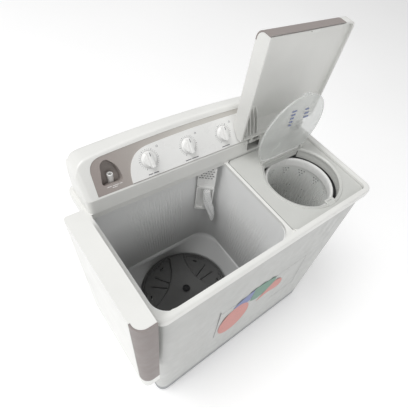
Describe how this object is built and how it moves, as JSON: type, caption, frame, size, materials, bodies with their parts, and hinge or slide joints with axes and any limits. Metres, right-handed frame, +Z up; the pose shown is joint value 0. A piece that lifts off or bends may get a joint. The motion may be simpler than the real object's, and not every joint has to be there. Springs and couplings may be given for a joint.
{
  "type": "twin tub washer",
  "caption": "Twin tub washing machine: square wash tub with pulsator, round spin basket with inner lid, rear console with dials, both lids open.",
  "frame": {"origin": "bottom centre of the whole object as it stands, with the wash lid hanging at its left side", "axes": "+Z up, +X to the spin side (right, seen from the front), +Y to the back, where the console is"},
  "size_m": [0.857, 0.4738, 1.1824],
  "materials": {
    "white_body": "smooth injection-moulded ABS, satin",
    "panel_white": "glossy white plastic",
    "tub_white": "pale grey polypropylene",
    "taupe_trim": "pearly taupe plastic",
    "pulsator_charcoal": "dark grey polypropylene",
    "black_plastic": "black plastic",
    "clear_plastic": "translucent moulded plastic",
    "grey_plastic": "grey plastic",
    "steel": "zinc-plated steel",
    "motor_casting": "painted aluminium casting",
    "black_rubber": "black rubber",
    "lint_mesh": "fine white polyester mesh"
  },
  "bodies": {
    "machine": {"cabinet": "white_body", "back_cover": "white_body", "top_frame": "white_body", "spin_deck": "white_body", "console_body": "white_body", "console_back": "white_body", "knob_panel": "panel_white", "inlet_nozzle": "panel_white", "wash_tub": "tub_white", "spin_outer_tub": "tub_white", "filter_cover": "tub_white", "fascia_panel": "taupe_trim", "capacitor": "black_plastic", "cord_gland": "black_plastic", "base_pan": "grey_plastic", "drain_valve": "grey_plastic", "drain_pipe": "grey_plastic", "wash_timer_switch": "grey_plastic", "drain_selector_switch": "grey_plastic", "spin_timer_switch": "grey_plastic", "lid_guide_rail": "grey_plastic", "shaft_housing": "steel", "motor_platform": "steel", "brake_post": "steel", "spin_hinge_rod": "steel", "wash_motor": "motor_casting", "spin_motor": "motor_casting", "foot_1": "black_rubber", "foot_2": "black_rubber", "foot_3": "black_rubber", "foot_4": "black_rubber", "shaft_seal": "black_rubber", "drive_belt": "black_rubber", "bellows_seal": "black_rubber", "motor_mount_1": "black_rubber", "motor_mount_2": "black_rubber", "motor_mount_3": "black_rubber"},
    "spin_lid": {"spin_lid_shell": "white_body", "spin_lid_trim": "taupe_trim"},
    "safety_lid_body": {"safety_lid": "clear_plastic"},
    "wash_lid": {"wash_lid_shell": "white_body", "wash_lid_trim": "taupe_trim", "lid_slider": "grey_plastic"},
    "wash_timer_dial": {"wash_timer_knob": "panel_white"},
    "drain_selector_dial": {"drain_selector_knob": "panel_white"},
    "spin_timer_dial": {"spin_timer_knob": "panel_white"},
    "drain_plug_body": {"drain_plug": "black_rubber"},
    "pulsator_rotor": {"pulsator": "pulsator_charcoal", "pulsator_cap": "black_plastic", "pulsator_shaft": "steel", "driven_pulley": "black_plastic"},
    "motor_rotor": {"motor_pulley": "steel"},
    "spin_rotor": {"spin_basket": "tub_white", "balance_ring": "panel_white", "spin_shaft": "steel", "brake_drum": "motor_casting"},
    "brake": {"brake_lever": "steel"},
    "lint_filter": {"lint_frame": "panel_white", "lint_bag": "lint_mesh"}
  },
  "joints": [
    {"name": "spin_lid_hinge", "type": "hinge", "parent": "machine", "child": "spin_lid", "pos_m": [0.2655, 0.1271, 0.822], "axis": [1, 0, 0], "range_deg": [0, 87]},
    {"name": "safety_lid_hinge", "type": "hinge", "parent": "machine", "child": "safety_lid_body", "pos_m": [0.2435, 0.0461, 0.803], "axis": [1, 0, 0], "range_deg": [0, 87]},
    {"name": "wash_lid_lift", "type": "slide", "parent": "machine", "child": "wash_lid", "axis": [0, 0, 1], "range_m": [0, 0.32]},
    {"name": "wash_timer_turn", "type": "hinge", "parent": "machine", "child": "wash_timer_dial", "pos_m": [-0.1835, 0.14533, 0.87883], "axis": [0, -0.7965, 0.6046], "range_deg": [-300, 0]},
    {"name": "drain_selector_turn", "type": "hinge", "parent": "machine", "child": "drain_selector_dial", "pos_m": [-0.0635, 0.14533, 0.87883], "axis": [0, -0.7965, 0.6046], "range_deg": [-90, 0]},
    {"name": "spin_timer_turn", "type": "hinge", "parent": "machine", "child": "spin_timer_dial", "pos_m": [0.0575, 0.14533, 0.87883], "axis": [0, -0.7965, 0.6046], "range_deg": [-300, 0]},
    {"name": "drain_plug_lift", "type": "slide", "parent": "machine", "child": "drain_plug_body", "axis": [0, 0, 1], "range_m": [0, 0.0071]},
    {"name": "pulsator_spin", "type": "hinge", "parent": "machine", "child": "pulsator_rotor", "pos_m": [-0.1665, -0.0469, 0.4], "axis": [0, 0, 1], "continuous": true},
    {"name": "motor_spin", "type": "hinge", "parent": "machine", "child": "motor_rotor", "pos_m": [0.0025, -0.0469, 0.297], "axis": [0, 0, 1], "continuous": true},
    {"name": "basket_spin", "type": "hinge", "parent": "machine", "child": "spin_rotor", "pos_m": [0.2435, -0.0589, 0.5], "axis": [0, 0, 1], "continuous": true},
    {"name": "brake_release", "type": "hinge", "parent": "machine", "child": "brake", "pos_m": [0.3395, -0.0189, 0.316], "axis": [0, 0, 1], "range_deg": [0, 6.1]},
    {"name": "lint_filter_pull", "type": "slide", "parent": "machine", "child": "lint_filter", "axis": [-0.6111, -0.7821, 0.1219], "range_m": [0, 0.05]}
  ],
  "couplings": [
    {"joint": "safety_lid_hinge", "follows": "spin_lid_hinge", "ratio": 1},
    {"joint": "brake_release", "follows": "spin_lid_hinge", "ratio": 0.068966},
    {"joint": "drain_plug_lift", "follows": "drain_selector_turn", "m_per_rad": -0.0044563},
    {"joint": "motor_spin", "follows": "pulsator_spin", "ratio": 4.5}
  ]
}
